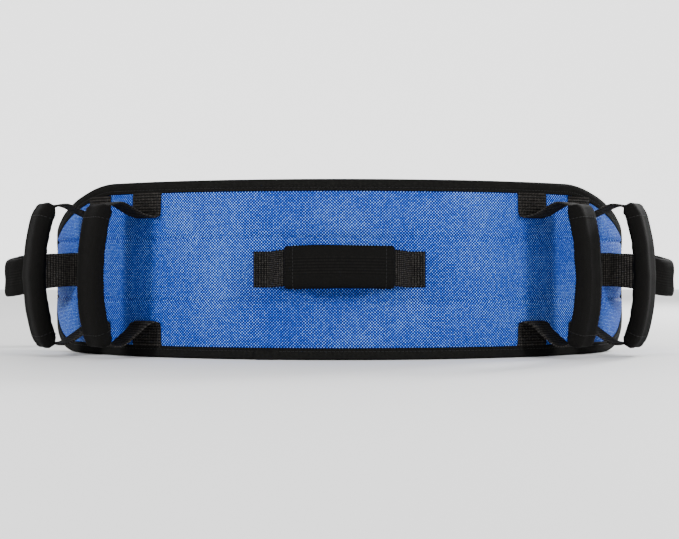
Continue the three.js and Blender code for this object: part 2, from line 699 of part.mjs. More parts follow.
function buildHandles() {
  levelHandle('centre_handle', 0, CENTRE_LOOP);
  [['left', -1], ['right', 1]].forEach(([label, side]) => {
    uprightHandle(`${label}_inner_handle`, side, INNER_UPRIGHT);
    uprightHandle(`${label}_outer_handle`, side, OUTER_UPRIGHT);
    levelHandle(`${label}_side_handle`, side * SIDE_ARC, SIDE_LOOP);
  });
}

buildPanel();
buildHandles();
buildStrap();
belt.position.y = ORIGIN_SHIFT_Y;

export default belt;
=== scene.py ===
import math

import bmesh
import bpy
import numpy as np
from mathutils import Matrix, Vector


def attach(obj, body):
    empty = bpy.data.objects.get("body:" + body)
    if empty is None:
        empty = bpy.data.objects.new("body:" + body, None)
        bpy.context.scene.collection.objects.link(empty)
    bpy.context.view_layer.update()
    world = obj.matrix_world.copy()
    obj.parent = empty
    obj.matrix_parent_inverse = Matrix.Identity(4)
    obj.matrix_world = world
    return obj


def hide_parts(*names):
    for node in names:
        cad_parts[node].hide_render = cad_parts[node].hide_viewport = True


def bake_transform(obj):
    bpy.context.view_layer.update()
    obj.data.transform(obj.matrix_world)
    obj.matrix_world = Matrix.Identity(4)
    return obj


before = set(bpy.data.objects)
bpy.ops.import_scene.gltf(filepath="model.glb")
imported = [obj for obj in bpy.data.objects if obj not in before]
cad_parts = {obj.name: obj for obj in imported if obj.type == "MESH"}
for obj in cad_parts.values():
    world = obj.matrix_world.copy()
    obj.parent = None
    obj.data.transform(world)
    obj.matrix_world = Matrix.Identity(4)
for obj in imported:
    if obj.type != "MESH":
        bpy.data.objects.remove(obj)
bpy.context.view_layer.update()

# ---- Sizes, in metres, as in the part's own source ----------------------------------------

MM = 0.001
PANEL_HALF_WIDTH = 0.286
PANEL_DEPTH = 0.215
PANEL_HEIGHT = 0.160
PANEL_END_ANGLE = math.radians(86)
ELLIPSE_Y = 0.0733
MID = PANEL_HEIGHT / 2
# How each edge falls: the arc where it starts, the arc where it bends, the half height at the end.
TOP_FALL = (0.224, 0.264, 0.028)
BOTTOM_FALL = (0.285, 0.336, 0.034)
CORNER_RADIUS = 0.012

# Offsets from the panel's middle surface, positive towards its blue face.
OUTER_FACE = 0.0038
LINING_FACE = -0.0056
COVER_FACE = -0.0103
SHEET_INSET = 0.002
SHEET_THICKNESS = 0.0014
BINDING_REACH = 0.011
SEAM_HEIGHT = 0.028  # the two seams of the strap's channel lie this far from the middle
CHANNEL_HALF = 0.030
STRAP_WIDTH = 0.050
STRAP_THICKNESS = 0.0016
HANDLE_WEBBING = 0.032
HANDLE_THICKNESS = 0.002
STRAP_OFFSET = -0.008
STRAP_X = PANEL_HALF_WIDTH * math.sin(PANEL_END_ANGLE) + STRAP_OFFSET
HINGE = Vector((STRAP_X, 0.032 + ELLIPSE_Y, MID))  # where the strap bends as it swings open

# A loop's route is half of its centre line, in millimetres: along the hinge line, away from the panel.
# sleeve_from is the share of the whole loop where the sleeve starts, and sleeve is the sleeve's half
# width and half thickness.
FOOT = 0.008
UPRIGHT_LOOP = {
    "route": [(50, 8), (57, 18), (65, 33), (61, 46), (34, 54), (0, 57)],
    "sleeve_from": 0.2, "sleeve": (0.017, 0.0075), "sag": 0.006, "rise": 0.0,
}
CENTRE_LOOP = {
    "route": [(62, 8), (57, 16), (48, 25), (26, 31), (0, 33)],
    "sleeve_from": 0.16, "sleeve": (0.0185, 0.0065), "sag": 0.0, "rise": 0.0025,
}
SIDE_LOOP = {
    "route": [(31, 8), (32, 18), (29, 34), (19, 50), (0, 56)],
    "sleeve_from": 0.2, "sleeve": (0.0175, 0.0065), "sag": 0.0, "rise": -0.008,
}
INNER_UPRIGHT = {"arc": 0.181, "lean": 25, "stretch": 1.0}
OUTER_UPRIGHT = {"arc": 0.241, "lean": 19, "stretch": 1.12}
SIDE_ARC = 0.313
LEVEL_ANCHOR = 0.015

# The front strap runs from the hinge to a straight length, then bends back to the buckle's lock bar.
STRAIGHT_START = Vector((0.165, 0.092 + ELLIPSE_Y, 0.062))
STRAIGHT_END = Vector((0.045, 0.101 + ELLIPSE_Y, 0.054))
BEND_REACH = 0.150
LOCK_Y = 0.0645 + ELLIPSE_Y
LOCK_X = -STRAP_X - 0.0075
LOCK_WRAP = 0.00302
SLOT_EXIT_X = -STRAP_X + 0.005
TAIL_SHARE = 0.93
TAIL_SLANT = 0.009

# ---- Panel surface ------------------------------------------------------------------------

# The panel follows an ellipse. This table gives the ellipse's angle for an arc length from the middle.
TABLE_ANGLES = np.linspace(0, PANEL_END_ANGLE * 1.08, 4001)
TABLE_SPEEDS = np.hypot(PANEL_HALF_WIDTH * np.cos(TABLE_ANGLES), PANEL_DEPTH * np.sin(TABLE_ANGLES))
TABLE_STEPS = (TABLE_SPEEDS[1:] + TABLE_SPEEDS[:-1]) / 2 * np.diff(TABLE_ANGLES)
TABLE_ARCS = np.concatenate([[0], np.cumsum(TABLE_STEPS)])
END_ARC = float(np.interp(PANEL_END_ANGLE, TABLE_ANGLES, TABLE_ARCS))


def angle_at(arc):
    return np.sign(arc) * np.interp(np.abs(arc), TABLE_ARCS, TABLE_ANGLES)


def panel_normal(arc):
    angle = angle_at(arc)
    x = PANEL_DEPTH * np.sin(angle)
    y = -PANEL_HALF_WIDTH * np.cos(angle)
    return unit(np.stack([x, y, np.zeros_like(angle)], -1))


def panel_point(arc, offset, z):
    """Point on the panel: arc length from its middle, offset outward, and height."""
    values = [np.asarray(value, float) for value in (arc, offset, z)]
    arc, offset, z = np.broadcast_arrays(*values)
    angle = angle_at(arc)
    x = PANEL_HALF_WIDTH * np.sin(angle)
    y = ELLIPSE_Y - PANEL_DEPTH * np.cos(angle)
    return np.stack([x, y, z], -1) + panel_normal(arc) * offset[..., None]


def half_height(arc, fall):
    """Half height of the outline: level, a smooth fall, then a rounded corner at the end."""
    start, bend, end_half = fall
    along = np.minimum(np.abs(arc), END_ARC)
    # The fall is a quadratic curve with its control point at the bend, solved for its own parameter.
    a = start - 2 * bend + END_ARC
    b = 2 * (bend - start)
    c = start - np.maximum(along, start)
    share = (-b + np.sqrt(b * b - 4 * a * c)) / (2 * a)
    height = MID - (MID - end_half) * share ** 2
    into = np.clip(CORNER_RADIUS - (END_ARC - along), 0, CORNER_RADIUS)
    return height - (CORNER_RADIUS - np.sqrt(CORNER_RADIUS ** 2 - into ** 2))


def wander(x, y, seed, scale):
    """Smooth value from about -1 to 1 that drifts over x and y, for wrinkles and slack."""
    total = np.zeros(np.broadcast(x, y).shape)
    rng = np.random.default_rng(seed)
    for octave in range(5):
        turn = rng.uniform(0, 2 * np.pi)
        phase = rng.uniform(0, 2 * np.pi)
        frequency = 2 * np.pi / scale * (0.7 + 0.45 * octave)
        wave = np.sin(frequency * (x * np.cos(turn) + y * np.sin(turn)) + phase)
        total = total + wave / (1 + octave)
    return total / 2.3


def bell(value, width):
    """1 at zero, falling away smoothly over the width."""
    return np.exp(-(value / width) ** 2)


# ---- Mesh builders ------------------------------------------------------------------------

RIM_SHARE = 0.35  # how much of a sheet's thickness its cut edges are drawn in by

def new_piece(name, points, faces, uvs=None, smooth=True):
    mesh = bpy.data.meshes.new(name)
    mesh.from_pydata([tuple(p) for p in points], [], [tuple(f) for f in faces])
    if uvs is not None:
        layer = mesh.uv_layers.new(name="cloth")
        index = np.empty(len(mesh.loops), np.int32)
        mesh.loops.foreach_get("vertex_index", index)
        layer.data.foreach_set("uv", np.asarray(uvs, np.float32)[index].ravel())
    mesh.polygons.foreach_set("use_smooth", [smooth] * len(mesh.polygons))
    mesh.update()
    piece = bpy.data.objects.new(name, mesh)
    bpy.context.scene.collection.objects.link(piece)
    return piece


def surface_normals(grid):
    down = np.gradient(grid, axis=0)
    across = np.gradient(grid, axis=1)
    return unit(np.cross(down, across))


def quad_faces(rows, cols, start=0, flip=False):
    index = np.arange(rows * cols).reshape(rows, cols) + start
    corners = [index[:-1, :-1], index[:-1, 1:], index[1:, 1:], index[1:, :-1]]
    faces = np.stack(corners, -1).reshape(-1, 4)
    return faces[:, ::-1] if flip else faces


def thin_sheet(name, grid, uv, thickness):
    """Closed thin cloth from a grid of points on its front face, its cut edges drawn in a little."""
    rows, cols = grid.shape[:2]
    count = rows * cols
    down = surface_normals(grid) * thickness
    rim = np.full((rows, cols, 1), RIM_SHARE)
    rim[1:-1, 1:-1] = 0
    front = grid - down * rim
    back = grid - down + down * rim
    index = np.arange(count).reshape(rows, cols)
    border = np.concatenate([index[0, :-1], index[:-1, -1], index[-1, :0:-1], index[:0:-1, 0]])
    after = np.roll(border, -1)
    side = np.stack([border, border + count, after + count, after], -1)
    back_faces = quad_faces(rows, cols, count, flip=True)
    faces = np.concatenate([quad_faces(rows, cols), back_faces, side])
    points = np.concatenate([front.reshape(-1, 3), back.reshape(-1, 3)])
    uvs = np.tile(uv.reshape(-1, 2), (2, 1))
    return face_outward(new_piece(name, points, faces, uvs))


def face_outward(piece):
    bm = bmesh.new()
    bm.from_mesh(piece.data)
    bmesh.ops.recalc_face_normals(bm, faces=bm.faces)
    if bm.calc_volume(signed=True) < 0:
        bmesh.ops.reverse_faces(bm, faces=bm.faces)
    bm.to_mesh(piece.data)
    bm.free()
    return piece


def smooth_route(points, count):
    """Even steps along a smooth curve through the points (centripetal Catmull-Rom)."""
    points = np.asarray(points, float)
    before = 2 * points[0] - points[1]
    beyond = 2 * points[-1] - points[-2]
    guides = np.concatenate([[before], points, [beyond]])
    route = []
    for corner in range(len(points) - 1):
        p = guides[corner:corner + 4]
        gaps = np.maximum(1e-9, np.linalg.norm(np.diff(p, axis=0), axis=1)) ** 0.5
        k = np.concatenate([[0.0], np.cumsum(gaps)])
        for t in np.linspace(k[1], k[2], 16, endpoint=False):
            first = [between(p[i], p[i + 1], k[i], k[i + 1], t) for i in range(3)]
            second = [between(first[i], first[i + 1], k[i], k[i + 2], t) for i in range(2)]
            route.append(between(second[0], second[1], k[1], k[2], t))
    route.append(points[-1])
    return even_steps(np.array(route), count)


def between(a, b, start, end, t):
    return (a * (end - t) + b * (t - start)) / (end - start)


def lengths_along(line):
    return np.concatenate([[0], np.cumsum(np.linalg.norm(np.diff(line, axis=0), axis=1))])


def point_at(line, lengths, at):
    """The line's value at one or more lengths along it."""
    return np.stack([np.interp(at, lengths, line[:, k]) for k in range(line.shape[1])], -1)


def even_steps(line, count):
    lengths = lengths_along(line)
    return point_at(line, lengths, np.linspace(0, lengths[-1], count))


def line_length(line):
    return float(np.linalg.norm(np.diff(line, axis=0), axis=1).sum())


def unit(vectors):
    return vectors / np.maximum(np.linalg.norm(vectors, axis=-1, keepdims=True), 1e-12)


# ---- Materials ----------------------------------------------------------------------------

class Shade:
    """A material with one Principled shader, built from small helpers that return sockets."""

    def __init__(self, name, roughness, **settings):
        self.material = bpy.data.materials.new(name)
        self.material.use_nodes = True
        self.nodes = self.material.node_tree.nodes
        self.links = self.material.node_tree.links
        self.surface = next(n for n in self.nodes if n.type == "BSDF_PRINCIPLED")
        self.surface.inputs["Roughness"].default_value = roughness
        for socket, value in settings.items():
            self.surface.inputs[socket.replace("_", " ")].default_value = value

    def put(self, kind, inputs=(), **settings):
        """Add a node with its properties, and its inputs in order."""
        node = self.nodes.new(kind)
        for key, value in settings.items():
            setattr(node, key, value)
        for index, value in enumerate(inputs):
            self.feed(value, node.inputs[index])
        return node

    def feed(self, value, socket):
        """Link a node's output to the socket, or set the socket's own value."""
        if isinstance(value, bpy.types.NodeSocket):
            self.links.new(value, socket)
        elif value is not None:
            socket.default_value = value

    def math(self, operation, *inputs):
        return self.put("ShaderNodeMath", inputs, operation=operation).outputs[0]

    def cloth_axes(self):
        """Distance along and across the cloth in metres."""
        where = self.put("ShaderNodeUVMap", uv_map="cloth")
        split = self.put("ShaderNodeSeparateXYZ", [where.outputs[0]])
        return split.outputs[0], split.outputs[1]

    def noise(self, scale, detail=4.0):
        place = self.put("ShaderNodeTexCoord").outputs["Object"]
        node = self.put("ShaderNodeTexNoise", [place])
        node.inputs["Scale"].default_value = scale
        node.inputs["Detail"].default_value = detail
        return node.outputs[0]

    def ramp(self, value, *stops):
        node = self.put("ShaderNodeValToRGB", [value])
        elements = node.color_ramp.elements
        while len(elements) < len(stops):
            elements.new(0.5)
        for element, (position, colour) in zip(elements, stops):
            element.position = position
            element.color = (*colour, 1)
        return node.outputs[0]

    def mix(self, share, first, second):
        node = self.put("ShaderNodeMix", data_type="RGBA", blend_type="MIX")
        for index, value in ((0, share), (6, first), (7, second)):
            if isinstance(value, tuple):
                value = (*value, 1)
            self.feed(value, node.inputs[index])
        return node.outputs[2]

    def colour(self, value):
        self.feed(value, self.surface.inputs["Base Color"])

    def rough(self, value):
        self.feed(value, self.surface.inputs["Roughness"])

    def bump(self, *layers):
        """Bumps stacked on each other, each a height and its depth in metres."""
        normal = None
        for height, depth in layers:
            node = self.put("ShaderNodeBump")
            node.inputs["Distance"].default_value = depth
            self.feed(height, node.inputs["Height"])
            if normal is not None:
                self.feed(normal, node.inputs["Normal"])
            normal = node.outputs[0]
        self.feed(normal, self.surface.inputs["Normal"])

    def turned(self, u, v):
        """The two axes turned by 45 degrees."""
        total = self.math("ADD", u, v)
        rest = self.math("SUBTRACT", u, v)
        return self.math("MULTIPLY", total, math.sqrt(0.5)), self.math("MULTIPLY", rest, math.sqrt(0.5))

    def crown(self, value):
        """0 at the gap between two threads and 1 on top of each thread."""
        return self.math("ABSOLUTE", self.math("SINE", self.math("MULTIPLY", value, math.pi)))

    def thread_height(self, along, across):
        """A thread is narrow and round across its width, and nearly level along its length."""
        return self.math("MULTIPLY", self.math("POWER", across, 1.5), self.math("POWER", along, 0.4))

    def basket(self, pitch_u, pitch_v, diagonal=False):
        """Plain weave: (height of the threads 0 to 1, a value of its own for each crossing)."""
        u, v = self.cloth_axes()
        if diagonal:
            u, v = self.turned(u, v)
        u = self.math("DIVIDE", u, pitch_u)
        v = self.math("DIVIDE", v, pitch_v)
        crown_u = self.crown(u)
        crown_v = self.crown(v)
        cell_u = self.math("FLOOR", u)
        cell_v = self.math("FLOOR", v)
        odd = self.math("MODULO", self.math("ABSOLUTE", self.math("ADD", cell_u, cell_v)), 2.0)
        mixed = self.put("ShaderNodeMix", data_type="FLOAT")
        self.feed(odd, mixed.inputs[0])
        self.feed(self.thread_height(crown_v, crown_u), mixed.inputs[2])
        self.feed(self.thread_height(crown_u, crown_v), mixed.inputs[3])
        cell = self.put("ShaderNodeCombineXYZ", [cell_u, cell_v])
        value = self.put("ShaderNodeTexWhiteNoise", [cell.outputs[0]]).outputs[0]
        return mixed.outputs[0], value

    def around_half(self, value, amount):
        """A value from 0 to 1, moved to lie evenly about zero and scaled."""
        return self.math("MULTIPLY", self.math("SUBTRACT", value, 0.5), amount)


def grey(value):
    return (value, value, value)


def brighter(colour, factor, added=0.0):
    return tuple(min(1, factor * part + added) for part in colour)


def blue_cloth():
    """Coarse blue weave, lying diagonally. Its colour follows thread height: painted shade in the gaps, a
    pale painted highlight on the thread crowns, and random tone.
    """
    shade = Shade("blue_weave", 0.7, Specular_IOR_Level=0.12)
    height, cell = shade.basket(0.0019, 0.0019, diagonal=True)
    # lit is thread height plus random tone per crossing and in clouds; the ramp below turns it into painted
    # shade and painted highlight
    lit = shade.math("ADD", height, shade.around_half(cell, 0.10))
    lit = shade.math("ADD", lit, shade.around_half(shade.noise(14.0), 0.22))
    # Near black at the gaps is painted shade; the pale top stop is a painted highlight on the thread crowns.
    shade.colour(shade.ramp(
        lit,
        (0.08, (0.0, 0.0004, 0.012)),
        (0.50, (0.0005, 0.014, 0.20)),
        (0.78, (0.003, 0.06, 0.55)),
        (0.93, (0.05, 0.26, 0.95)),
        (1.0, (0.45, 0.75, 1.0)),
    ))
    shade.bump((shade.noise(60.0), 0.0006), (height, 0.00035))
    return shade.material


def black_weave(name, pitch, dark, light, depth, uneven=0.3):
    """Black cloth or webbing: thread pitch along and across, gap colour (painted shade between the threads)
    and thread colour, bump depth; the crowns get a painted highlight.
    """
    shade = Shade(name, 0.85, Specular_IOR_Level=0.06)
    height, cell = shade.basket(*pitch)
    lit = shade.math("ADD", height, shade.around_half(cell, uneven))
    # Colour follows thread height: the dark gap colour is painted shade, and the top stop at 1.7 times the
    # thread colour is a painted highlight.
    shade.colour(shade.ramp(lit, (0.25, dark), (0.8, light), (1.0, brighter(light, 1.7))))
    shade.bump((shade.noise(90.0), 0.0003), (height, depth))
    return shade.material


def spacer_mesh():
    """Knitted mesh: a close field of small round holes, painted near black as painted shade, the yarn
    between them lighter towards its crests as a painted highlight.
    """
    shade = Shade("spacer_mesh", 0.85, Specular_IOR_Level=0.2)
    flat = shade.put("ShaderNodeCombineXYZ", shade.cloth_axes())
    cells = shade.put("ShaderNodeTexVoronoi", [flat.outputs[0]], feature="SMOOTH_F1")
    cells.inputs["Scale"].default_value = 250.0
    cells.inputs["Randomness"].default_value = 0.25
    hole = cells.outputs["Distance"]
    yarn = (0.011, 0.011, 0.012)
    yarn_crest_highlight = (0.03, 0.03, 0.032)
    # Near black in the holes is painted shade; the lighter yarn colour on the crests between holes is a
    # painted highlight.
    shade.colour(shade.ramp(hole, (0.12, grey(0.0005)), (0.42, yarn), (0.7, yarn_crest_highlight)))
    shade.bump((hole, 0.0009), (shade.noise(1400.0, 1.0), 0.0001))
    return shade.material


def moulded_plastic(name, base, roughness):
    shade = Shade(name, roughness, Specular_IOR_Level=0.5)
    grain = shade.noise(2600.0, 2.0)
    cloud = shade.noise(45.0)
    shade.colour(shade.mix(shade.math("MULTIPLY", cloud, 0.8), base, brighter(base, 1.9)))
    worn = shade.put("ShaderNodeMapRange", [cloud, 0.3, 0.7, roughness - 0.08, roughness + 0.12])
    shade.rough(worn.outputs[0])
    shade.bump((grain, 0.00006))
    return shade.material


def thread(name, base):
    shade = Shade(name, 0.6, Specular_IOR_Level=0.2)
    twist = shade.noise(1800.0, 1.0)
    shade.colour(shade.mix(twist, base, brighter(base, 2.2, 0.004)))
    shade.bump((twist, 0.0001))
    return shade.material


MATERIALS = {
    "blue": blue_cloth(),
    # In each black_weave call the first colour is painted shade in the gaps between threads, the second is
    # the thread colour.
    "binding": black_weave("tape_weave", (0.0011, 0.0009), grey(0.001), (0.008, 0.0078, 0.007), 0.00015),
    "webbing": black_weave("webbing_weave", (0.0026, 0.0017), grey(0.0008), (0.024, 0.022, 0.020), 0.0006),
    "strap": black_weave("strap_weave", (0.0013, 0.0030), grey(0.0025), (0.017, 0.017, 0.0175), 0.0005, 0.1),
    "sleeve": black_weave(
        "sleeve_weave", (0.0006, 0.0006), (0.0012, 0.0012, 0.0011), (0.0045, 0.0042, 0.0038), 0.00006),
    "cover": black_weave(
        "cover_weave", (0.0007, 0.0007), (0.004, 0.004, 0.0045), (0.014, 0.014, 0.015), 0.00008),
    "mesh": spacer_mesh(),
    "plastic": moulded_plastic("moulded_plastic", (0.006, 0.006, 0.0065), 0.38),
    "buckle": moulded_plastic("moulded_plastic_grey", (0.012, 0.0125, 0.013), 0.42),
    "blue_thread": thread("blue_thread", (0.006, 0.022, 0.13)),
    "black_thread": thread("black_thread", grey(0.0015)),
}


def dress(piece, material, body, replaces=()):
    piece.data.materials.clear()
    piece.data.materials.append(MATERIALS[material])
    if body:
        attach(piece, body)
    if replaces:
        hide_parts(*replaces)
    return piece


# ---- Padded panel -------------------------------------------------------------------------

PANEL_COLUMNS = 380
STITCH = {"radius": 0.00028, "pitch": 0.0041}


def outline_z(arc, share, inset):
    """Height for a share from -1 at the lower edge to 1 at the upper edge, both drawn in by inset."""
    top = half_height(arc, TOP_FALL) - inset
    bottom = half_height(arc, BOTTOM_FALL) - inset
    return MID + np.where(share > 0, share * top, share * bottom)


def band_share(arc, z):
    """0 at the channel's seam to 1 at the binding's edge, and 0 inside the channel."""
    outline = np.where(z > MID, half_height(arc, TOP_FALL), half_height(arc, BOTTOM_FALL))
    room = np.maximum(outline - BINDING_REACH - SEAM_HEIGHT, 0.002)
    return np.clip((np.abs(z - MID) - SEAM_HEIGHT) / room, 0, 1)


def seam_dip(z):
    """1 on the channel's two seams."""
    return bell(np.abs(z - MID) - SEAM_HEIGHT, 0.0015)


def outer_relief(arc, z):
    """How far the quilted blue face stands off its nominal surface."""
    swell = 0.0013 * np.sin(np.pi * band_share(arc, z)) ** 0.6
    channel = 0.0007 * np.clip(1 - (np.abs(z - MID) / SEAM_HEIGHT) ** 4, 0, 1)
    pucker = 1 + 0.25 * np.sin(2 * np.pi * arc / STITCH["pitch"])
    slack = 0.00035 * wander(arc, z * 1.6, 3, 0.09)
    return swell + channel - 0.0013 * seam_dip(z) * pucker + slack


def inner_relief(arc, z):
    """The lining's loose bands are drawn up into small upright folds along their seams."""
    share = band_share(arc, z)
    loose = np.sin(np.pi * share) ** 0.7
    near_seam = bell(share, 0.35) * (share > 0)
    folds = 0.0088 * np.abs(wander(arc, z * 0.16, 11, 0.034))
    slack = 0.0014 * wander(arc, z * 0.6, 12, 0.05)
    amount = np.where(z < MID, 1.0, 0.55) * np.clip(loose + near_seam, 0, 1)
    return 0.0012 * loose + amount * (folds + slack) - 0.0008 * seam_dip(z)


def panel_sheet(offset, relief, rows=102):
    """A full-height sheet of the panel, as a grid of points and their places in the flat cloth."""
    arcs = np.linspace(-END_ARC + SHEET_INSET, END_ARC - SHEET_INSET, PANEL_COLUMNS)
    arc, share = np.meshgrid(arcs, np.linspace(-1, 1, rows))
    z = outline_z(arc, share, SHEET_INSET)
    grid = panel_point(arc, offset + relief(arc, z), z)
    return grid, np.stack([arc, z - MID], -1)


def facing_sheet(name, grid, uv, thickness, toward):
    """thin_sheet with its front on the side that the vectors in toward point to."""
    if float((surface_normals(grid) * toward).sum(-1).mean()) < 0:
        grid = grid[:, ::-1]
        uv = uv[:, ::-1]
    return thin_sheet(name, grid, uv, thickness)


def blue_shell():
    grid, uv = panel_sheet(OUTER_FACE, outer_relief)
    shell = facing_sheet("outer_cover", grid, uv, SHEET_THICKNESS, panel_normal(uv[..., 0]))
    dress(shell, "blue", "panel", ("outer_shell", "foam_core"))


def mesh_lining():
    grid, uv = panel_sheet(LINING_FACE, lambda arc, z: -inner_relief(arc, z), rows=96)
    lining = facing_sheet("spacer_lining", grid, uv, SHEET_THICKNESS, -panel_normal(uv[..., 0]))
    dress(lining, "mesh", "panel", ("mesh_lining",))


def cover_relief(arc, z):
    """Upright folds where the strap draws the channel's cloth together."""
    held = np.clip(1 - (np.abs(z - MID) / 0.0275) ** 4, 0, 1)
    broad = 0.0052 * np.abs(wander(arc, z * 0.10, 21, 0.06))
    fine = 0.0009 * wander(arc, z * 0.4, 22, 0.018)
    receiver_side = 0.0018 * bell(arc + END_ARC, 0.03)
    return (broad + fine + receiver_side) * held - 0.0009 * seam_dip(z)


def channel_cover():
    arcs = np.linspace(-END_ARC + 0.0005, END_ARC - 0.0005, 420)
    arc, z = np.meshgrid(arcs, np.linspace(MID - CHANNEL_HALF, MID + CHANNEL_HALF, 46))
    rim = 0.0008 * bell(END_ARC - np.abs(arc), 0.002)
    grid = panel_point(arc, COVER_FACE - cover_relief(arc, z) + rim, z)
    cover = facing_sheet("strap_channel", grid, np.stack([arc, z - MID], -1), 0.0011, -panel_normal(arc))
    dress(cover, "cover", "panel", ("channel_cover",))


def outline_path(count):
    """Even steps along the panel's edge, clockwise seen from outside: rows of (arc, z)."""
    arcs = np.concatenate([
        np.linspace(-END_ARC, -END_ARC + CORNER_RADIUS, 60, endpoint=False),
        np.linspace(-END_ARC + CORNER_RADIUS, END_ARC - CORNER_RADIUS, 900, endpoint=False),
        np.linspace(END_ARC - CORNER_RADIUS, END_ARC, 60),
    ])
    top = np.stack([arcs, MID + half_height(arcs, TOP_FALL)], -1)
    bottom = np.stack([arcs[::-1], MID - half_height(arcs[::-1], BOTTOM_FALL)], -1)
    closed = np.concatenate([top, bottom, top[:1]])
    return even_steps(closed, count)


# The tape's folded section from its outer hem round the panel's edge to its inner hem: distance in
# from the edge, and offset from the panel's middle surface.
BINDING_PROFILE = np.array([
    (0.0110, 0.0046), (0.0100, 0.0051), (0.0085, 0.0050), (0.0070, 0.0052), (0.0050, 0.0054),
    (0.0030, 0.0054), (0.0016, 0.0050), (0.0006, 0.0040), (0.0001, 0.0024), (0.0000, 0.0000),
    (0.0000, -0.0026), (0.0003, -0.0046), (0.0010, -0.0060), (0.0022, -0.0068), (0.0040, -0.0070),
    (0.0065, -0.0069), (0.0085, -0.0066), (0.0100, -0.0068), (0.0110, -0.0064),
])
BINDING_THICKNESS = 0.0010
BINDING_STEPS = 1100
BINDING_START = 0.77  # the lap's place, as a share of the way round
BINDING_LAP = 0.012
BINDING_STITCH_DEPTH = 0.0078  # how far in from the edge the tape is stitched
BINDING_PITCH = 0.0036


def inward_of(path):
    """Unit steps towards the panel's inside from a path that runs clockwise round its edge."""
    tangent = unit(np.gradient(path, axis=0))
    return np.stack([tangent[:, 1], -tangent[:, 0]], -1)


def lapped_path():
    """The edge from the tape's start round to its lap, and the length along it."""
    path = outline_path(BINDING_STEPS)
    once_round = BINDING_STEPS - 1
    count = once_round + int(BINDING_STEPS * BINDING_LAP)
    order = (int(BINDING_STEPS * BINDING_START) + np.arange(count)) % once_round
    return path[order], np.arange(count) / once_round * line_length(path)


def edge_binding():
    """One tape folded over the whole edge, its ends lapped below the middle of the back."""
    path, total = lapped_path()
    inward = inward_of(path)
    profile = smooth_route(BINDING_PROFILE, 34)
    around, along = np.meshgrid(np.linspace(0, line_length(profile), len(profile)), total, indexing="ij")
    depth = np.repeat(profile[:, :1], len(total), 1)
    offset = np.repeat(profile[:, 1:], len(total), 1)
    lapped = np.clip((along - total[-1] + 0.022) / 0.004, 0, 1) * 0.0012
    drawn_in = 1 + 0.3 * np.sin(2 * np.pi * along / BINDING_PITCH)
    stitched = 0.00035 * bell(depth - BINDING_STITCH_DEPTH, 0.0009) * drawn_in
    crease = 0.00022 * wander(along, around * 1.5, 31, 0.02)
    offset = offset + np.sign(offset) * (lapped + crease - stitched)
    reach = depth - 0.4 * lapped * (depth < 0.002)
    flat = path[None] + inward[None] * reach[..., None]
    grid = panel_point(flat[..., 0], offset, np.maximum(flat[..., 1], 0.0002))
    inside = path + inward * 0.006
    toward = grid - panel_point(inside[:, 0], -0.0008, inside[:, 1])
    tape = facing_sheet("binding_tape", grid, np.stack([along, around], -1), BINDING_THICKNESS, toward)
    dress(tape, "binding", "panel", ("edge_binding",))


# ---- Stitches -----------------------------------------------------------------------------

# Each stitch is a short thread of five rings: place along it, from -1 to 1, lift off the cloth, girth.
STITCH_RINGS = (
    (-1.0, -0.00035, 0.75), (-0.6, 0.0001, 1), (0.0, 0.00022, 1), (0.6, 0.0001, 1), (1.0, -0.00035, 0.75),
)
STITCH_SIDES = 6


def stitch_faces(base):
    """Sides and both ends of one stitch whose first point has the index base."""
    faces = []
    last = base + STITCH_SIDES * (len(STITCH_RINGS) - 1)
    for ring in range(base, last, STITCH_SIDES):
        for k in range(STITCH_SIDES):
            a = ring + k
            b = ring + (k + 1) % STITCH_SIDES
            faces.append((a, b, b + STITCH_SIDES, a + STITCH_SIDES))
    faces.append(tuple(base + k for k in range(STITCH_SIDES - 1, -1, -1)))
    faces.append(tuple(last + k for k in range(STITCH_SIDES)))
    return faces


def stitch_row(name, line, normals, material, body, pitch=STITCH["pitch"]):
    """A lockstitch seam: short threads lying on the cloth that dip in at both ends."""
    lengths = lengths_along(line)
    turns = np.linspace(0, 2 * np.pi, STITCH_SIDES, endpoint=False)[:, None]
    points = []
    faces = []
    for centre in np.arange(pitch / 2, lengths[-1] - pitch / 4, pitch):
        faces += stitch_faces(len(points))
        for share, lift, girth in STITCH_RINGS:
            at = centre + share * pitch * 0.40
            normal = unit(point_at(normals, lengths, at))
            along = unit(point_at(line, lengths, at + 1e-4) - point_at(line, lengths, at - 1e-4))
            side = unit(np.cross(along, normal))
            radius = STITCH["radius"] * girth
            ring = normal * (lift + radius * np.sin(turns)) + side * radius * np.cos(turns)
            points += list(point_at(line, lengths, at) + ring)
    row = face_outward(new_piece(name, points, faces))
    row.data.materials.append(MATERIALS[material])
    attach(row, body)
    return row


def panel_seams():
    arcs = np.linspace(-END_ARC + 0.013, END_ARC - 0.013, 500)
    normal = panel_normal(arcs)
    for label, side in (("upper", 1), ("lower", -1)):
        z = np.full_like(arcs, MID + side * SEAM_HEIGHT)
        outer = panel_point(arcs, OUTER_FACE + outer_relief(arcs, z) + 0.0001, z)
        stitch_row(f"{label}_seam_outside", outer, normal, "blue_thread", "panel")
        inner = panel_point(arcs, COVER_FACE - cover_relief(arcs, z) - 0.0001, z)
        stitch_row(f"{label}_seam_inside", inner, -normal, "black_thread", "panel")


def binding_stitches():
    path = outline_path(900)
    line = path + inward_of(path) * BINDING_STITCH_DEPTH
    normal = panel_normal(line[:, 0])
    for label, offset, sign in (("outside", 0.0050, 1), ("inside", -0.0066, -1)):
        points = panel_point(line[:, 0], offset, line[:, 1])
        name = f"binding_stitches_{label}"
        stitch_row(name, points, sign * normal, "black_thread", "panel", pitch=BINDING_PITCH)


# ---- Handles ------------------------------------------------------------------------------

UP = np.array([0.0, 0.0, 1.0])
TWIST_REACH = 0.012  # the webbing leaves the panel's curve over this distance

